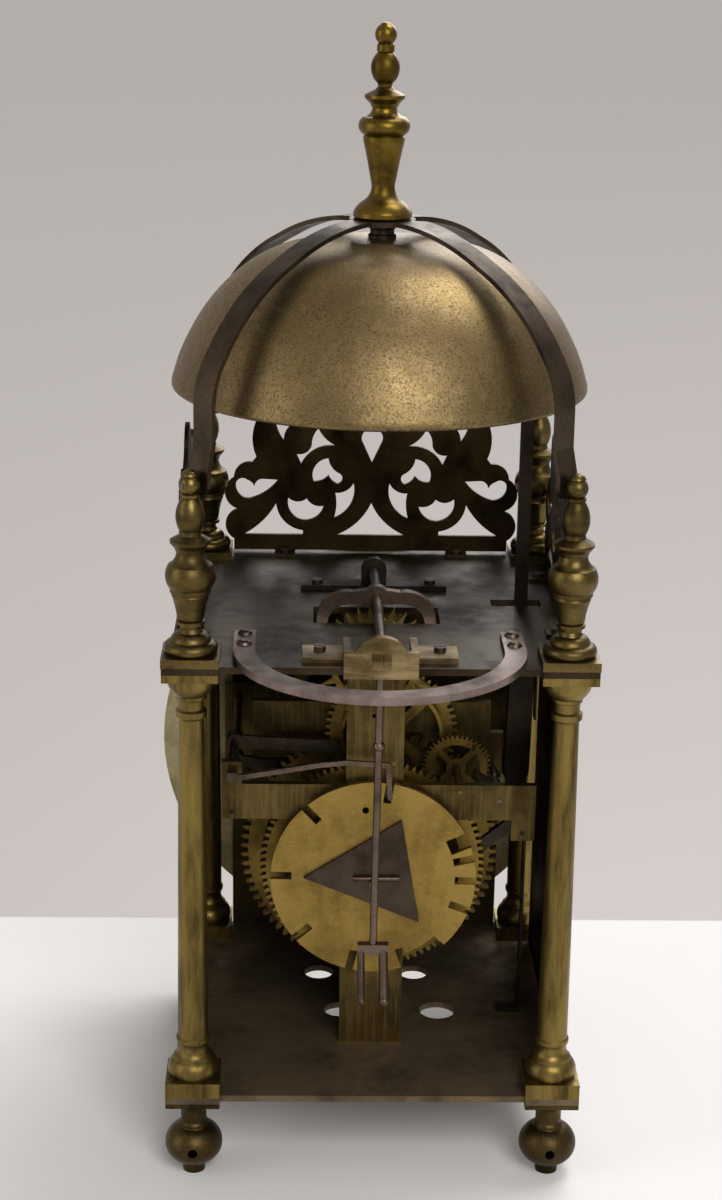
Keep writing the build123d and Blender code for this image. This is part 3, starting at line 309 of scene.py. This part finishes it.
def make_finishes():
    """Base, tarnished and rubbed colour of each metal, and its roughness."""
    drawn = (5, 5, 0.7)
    ringed = (1, 1, 2)
    return {
        "pillar": old_metal("pillar_brass", "#7c6a3a", "#4d3f20", "#a28d52", 0.34, 0.9, 1.0, drawn, 0.25),
        "foot": old_metal("foot_brass", "#4c3f25", "#2a2313", "#705f36", 0.4, pits=0.4),
        "finial": old_metal(
            "finial_brass", "#655631", "#3a2f19", "#8f7b48", 0.34, stretch=ringed, pits=0.3
        ),
        "top_finial": old_metal(
            "top_finial_brass", "#6d5823", "#443613", "#97803d", 0.3, stretch=ringed, pits=0.3
        ),
        "plate": old_metal("plate_brass", "#3c3225", "#251d15", "#5a4d3a", 0.4),
        "floor_plate": old_metal("bottom_plate_brass", "#6e5e48", "#4a3d2d", "#857258", 0.56, 1.0, 0.7),
        "door": old_metal("door_brass", "#352b1e", "#1e1811", "#4c3f2b", 0.5),
        # Frets: dark aged brass, darkened further as painted shade of the backlit frets
        "fret": old_metal("fret_brass", "#463823", "#241c11", "#6b5835", 0.44),
        "strap": old_metal("strap_iron", "#4b3f31", "#2c241b", "#6b5c49", 0.36, 1.2, 0.95),
        "iron": old_metal("lever_iron", "#3c342c", "#221d18", "#5c5146", 0.44, 1.3, 0.95),
        "steel": old_metal("worn_steel", "#6b5c50", "#40362d", "#96877a", 0.36, 1.2),
        "hoop": old_metal("hoop_steel", "#8a7b74", "#64564f", "#a99a92", 0.38, 0.9),
        "keeper": old_metal("keeper_steel", "#52463b", "#3a3129", "#6b5d4f", 0.42, 0.8),
        "count": lined_metal("count_wheel_brass", "#937a3f", "#6f592c", "#b09656", (1, 1, 14), 0.36),
        # Train wheels: aged brass, darkened further as painted shade of the case's interior
        "wheel": lined_metal("wheel_brass", "#7d6833", "#4b3d1e", "#a38a4c", (12, 1, 1), 0.36),
        "bar": lined_metal("bar_brass", "#5e4f2e", "#3a301b", "#7a683f", (1, 1, 0.05), 0.42),
        "cock": lined_metal("cock_brass", "#857351", "#4f4229", "#a4906a", (0.06, 1, 1), 0.36),
        # Dial plate: its back, inside the case, gets painted shade
        "dial": lined_metal("dial_brass", "#a8965f", "#7e6e44", "#cbbb88", (1, 1, 8), 0.36, BEHIND_DIAL),
        "ring": lined_metal("ring_brass", "#b9ac84", "#92855f", "#d8cda9", (6, 1, 1), 0.36),
        "hand": old_metal("hand_steel", "#23222a", "#151418", "#3c3b44", 0.3, 1.4),
        "bell": bell_metal(),
        "wax": wax_black(),
    }


def finish_for(node):
    """The finish of each piece of the clock."""
    starts = (
        ("pillar", "pillar"), ("foot", "foot"), ("finial", "finial"), ("top_finial", "top_finial"),
        ("top_plate", "plate"), ("bottom_plate", "floor_plate"), ("bell_strap", "strap"),
        ("left_door", "door"), ("right_door", "door"), ("bell_nut", "strap"), ("bell_bolt", "iron"),
        ("front_fret", "fret"), ("left_fret", "fret"), ("right_fret", "fret"), ("bell", "bell"),
        ("hanging_hoop", "hoop"), ("count_wheel_keeper", "keeper"), ("count_wheel", "count"),
        ("front_bar", "bar"), ("middle_bar", "bar"), ("rear_bar", "bar"), ("rear_cock", "cock"),
        ("dial_plate", "dial"), ("chapter_ring", "ring"), ("hour_hand", "hand"), ("front_cock", "iron"),
        ("hammer", "iron"), ("lifting_lever", "iron"),
        ("going_pulley", "iron"), ("strike_pulley", "iron"),
    )
    for start, finish in starts:
        if node.startswith(start):
            return finish
    return "wheel" if "wheel" in node else "steel"


# Pieces

def nothing_selected():
    bpy.ops.object.select_all(action="DESELECT")


def settle(obj, finish, body):
    """Bakes the piece's place into its mesh and hangs it on its body."""
    nothing_selected()
    obj.select_set(True)
    bpy.context.view_layer.objects.active = obj
    bpy.ops.object.transform_apply(location=True, rotation=True, scale=True)
    obj.data.materials.clear()
    obj.data.materials.append(finish)
    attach(obj, body)
    return obj


def numeral(text, hour, wax):
    """One hour numeral, its foot towards the middle of the ring."""
    nothing_selected()
    bpy.ops.object.text_add()
    obj = bpy.context.object
    obj.name = f"numeral_{hour}"
    obj.data.body = text
    obj.data.size = NUMERAL_SIZE * MM
    obj.data.align_x = "CENTER"
    obj.data.align_y = "CENTER"
    obj.data.extrude = 0.06 * MM
    obj.data.offset = 0.16 * MM
    bpy.ops.object.convert(target="MESH")
    turn = Matrix.Rotation(-math.radians(HOUR_TURN * hour), 4, "Z")
    narrow = Matrix.Diagonal(NUMERAL_SHAPE)
    middle = place(0, RING_FACE - 0.02, DIAL_Z)
    out = Matrix.Translation(Vector((0, NUMERAL_R * MM, 0)))
    obj.data.transform(Matrix.Translation(middle) @ FACE_TURN @ turn @ out @ narrow)
    return settle(obj, wax, "case")


def engraved_ring(name, radius, wax):
    """Thin circle of black wax let into the chapter ring."""
    nothing_selected()
    bpy.ops.mesh.primitive_circle_add(vertices=180, radius=radius * MM)
    obj = bpy.context.object
    obj.name = name
    bpy.ops.object.mode_set(mode="EDIT")
    bpy.ops.mesh.extrude_region()
    grow = (radius + CIRCLE_W) / radius
    bpy.ops.transform.resize(value=(grow, grow, 1))
    bpy.ops.mesh.select_all(action="SELECT")
    bpy.ops.mesh.extrude_region_move(TRANSFORM_OT_translate={"value": (0, 0, MARK_T * MM)})
    bpy.ops.mesh.select_all(action="SELECT")
    bpy.ops.mesh.normals_make_consistent()
    bpy.ops.object.mode_set(mode="OBJECT")
    obj.data.transform(Matrix.Translation(place(0, RING_FACE, DIAL_Z)) @ FACE_TURN)
    return settle(obj, wax, "case")


def raised_outline(corners):
    """Thin flat piece standing on its four corners' outline, in the ring's own plane."""
    nothing_selected()
    bpy.ops.mesh.primitive_plane_add(size=1)
    obj = bpy.context.object
    for vertex, (x, y) in zip(obj.data.vertices, corners):
        vertex.co = (x * MM, y * MM, 0)
    bpy.ops.object.mode_set(mode="EDIT")
    bpy.ops.mesh.select_all(action="SELECT")
    bpy.ops.mesh.extrude_region_move(TRANSFORM_OT_translate={"value": (0, 0, MARK_T * MM)})
    bpy.ops.mesh.select_all(action="SELECT")
    bpy.ops.mesh.normals_make_consistent()
    bpy.ops.object.mode_set(mode="OBJECT")
    return obj


def around_ring(shape, name, turns, wax):
    """Copies of one mark at several turns round the ring, joined as one piece."""
    marks = []
    for degrees in turns:
        mark = shape.copy()
        mark.data = shape.data.copy()
        bpy.context.collection.objects.link(mark)
        turn = Matrix.Rotation(-math.radians(degrees), 4, "Z")
        mark.data.transform(Matrix.Translation(place(0, RING_FACE, DIAL_Z)) @ FACE_TURN @ turn)
        marks.append(mark)
    bpy.data.objects.remove(shape)
    nothing_selected()
    for mark in marks:
        mark.select_set(True)
    bpy.context.view_layer.objects.active = marks[0]
    bpy.ops.object.join()
    marks[0].name = name
    return settle(marks[0], wax, "case")


def hour_marks(wax):
    """Quarter strokes inside the numerals and a lozenge at each half hour."""
    stroke = raised_outline([(-0.3, 55.2), (0.3, 55.2), (-0.45, 61.0), (0.45, 61.0)])
    around_ring(stroke, "quarter_strokes", [STROKE_TURN * k for k in range(48)], wax)
    lozenge = raised_outline([(0.0, 64.5), (1.7, 70.0), (-1.7, 70.0), (0.0, 75.5)])
    around_ring(lozenge, "half_hour_marks", [HOUR_TURN * (k + 0.5) for k in range(12)], wax)


def dial_work(wax):
    """Numerals, circles and marks of the chapter ring."""
    for hour, text in enumerate(NUMERALS):
        numeral(text, hour, wax)
    for name, radius in CIRCLES:
        engraved_ring(name, radius, wax)
    hour_marks(wax)


# Light, floor and camera

def stage_finish():
    """White table around the clock; past its edge and far away the pale glowing tone of a wall, with
    painted light: lighter near the table edge and towards -X, darker far off and towards +X.
    """
    m = Finish("pale_table")
    grain = m.noise(9, 2)
    path = m.node("ShaderNodeLightPath")
    seen = path.out("Is Camera Ray") + path.out("Is Glossy Ray") + path.out("Is Transmission Ray")
    x = m.axis("X")
    y = m.axis("Y")
    reach = (x * x + y * y) ** 0.5
    past_edge = (y * -1).step(TABLE_EDGE, TABLE_EDGE + EDGE_BLUR)
    beyond = (past_edge + reach.step(*FAR_FADE)).clamped() * seen.clamped()
    # Painted light on the wall: brighter near the table edge and towards -X, darker far off and towards
    # +X
    nearness = (EYE_Y + TABLE_EDGE) / (reach + EYE_Y)
    painted_side_light = (x / (reach + EYE_Y)).step(-0.25, 0.25)
    wall = m.blend(nearness.step(0.15, 1.0) * (1 - painted_side_light * 0.5), srgb(FAR_WALL), srgb(NEAR_WALL))
    table = m.blend(grain, srgb("#f0eeed"), srgb("#eae8e6"))
    black = (0.0, 0.0, 0.0)
    m.set(Base_Color=m.blend(beyond, table, black), Roughness=0.75, Specular_IOR_Level=0.0)
    m.set(Emission_Color=m.blend(beyond, black, wall), Emission_Strength=1.0)
    return m.material


def make_stage():
    """Wide flat floor under the clock."""
    nothing_selected()
    bpy.ops.mesh.primitive_plane_add(size=FLOOR_SIZE)
    floor = bpy.context.object
    floor.name = "table_top"
    floor.data.materials.append(stage_finish())
    floor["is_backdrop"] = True


def make_world():
    """Dim even glow on the clock, and the wall's far tone where the room itself is seen."""
    world = bpy.data.worlds.new("soft_room")
    bpy.context.scene.world = world
    world.use_nodes = True
    tree = world.node_tree
    path = tree.nodes.new("ShaderNodeLightPath")
    seen = path.outputs["Is Camera Ray"]
    for ray in ("Is Glossy Ray", "Is Transmission Ray"):
        either = tree.nodes.new("ShaderNodeMath")
        either.operation = "MAXIMUM"
        tree.links.new(seen, either.inputs[0])
        tree.links.new(path.outputs[ray], either.inputs[1])
        seen = either.outputs[0]
    mix = tree.nodes.new("ShaderNodeMix")
    mix.data_type = "RGBA"
    mix.inputs[6].default_value = ROOM_GLOW
    mix.inputs[7].default_value = (*srgb(FAR_WALL), 1)
    tree.links.new(seen, mix.inputs[0])
    tree.links.new(mix.outputs[2], tree.nodes["Background"].inputs[0])


def softbox(name, at, size, power):
    """Square lamp turned towards the middle of the clock."""
    light = bpy.data.lights.new(name, "AREA")
    light.shape = "RECTANGLE"
    light.size, light.size_y = size
    light.energy = power
    obj = bpy.data.objects.new(name, light)
    bpy.context.collection.objects.link(obj)
    obj.location = at
    obj.rotation_euler = (Vector(LAMP_AIM) - Vector(at)).to_track_quat("-Z", "Y").to_euler()


def make_camera():
    """Camera standing and turned as the photograph's."""
    pitch, yaw, roll = (math.radians(a) for a in (PITCH, YAW, ROLL))
    look = Vector((math.sin(yaw) * math.cos(pitch), -math.cos(yaw) * math.cos(pitch), -math.sin(pitch)))
    right = look.cross(Vector((0, 0, 1))).normalized()
    up = right.cross(look)
    right_rolled = right * math.cos(roll) + up * math.sin(roll)
    up_rolled = up * math.cos(roll) - right * math.sin(roll)
    data = bpy.data.cameras.new("photo_camera")
    data.sensor_fit = "VERTICAL"
    data.sensor_height = SENSOR
    data.lens = SENSOR * FOCAL_PIXELS / IMAGE[1]
    camera = bpy.data.objects.new("photo_camera", data)
    bpy.context.collection.objects.link(camera)
    turn = Matrix((right_rolled, up_rolled, -look)).transposed().to_4x4()
    camera.matrix_world = Matrix.Translation(place(*CAMERA)) @ turn
    bpy.context.scene.camera = camera


def main():
    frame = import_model()
    cad_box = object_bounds()
    finishes = make_finishes()
    for name, obj in frame["nodes"].items():
        finish = finishes[finish_for(name)]
        for slot in obj.material_slots:
            slot.material = finish
    dial_work(finishes["wax"])
    make_stage()
    make_world()
    for lamp in SOFTBOXES:
        softbox(*lamp)
    make_camera()
    bpy.context.scene.view_settings.view_transform = "Standard"
    boxes = {"cad": cad_box, "visual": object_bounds()}
    boxes = {name: [list(map(float, corner)) for corner in box] for name, box in boxes.items()}


main()
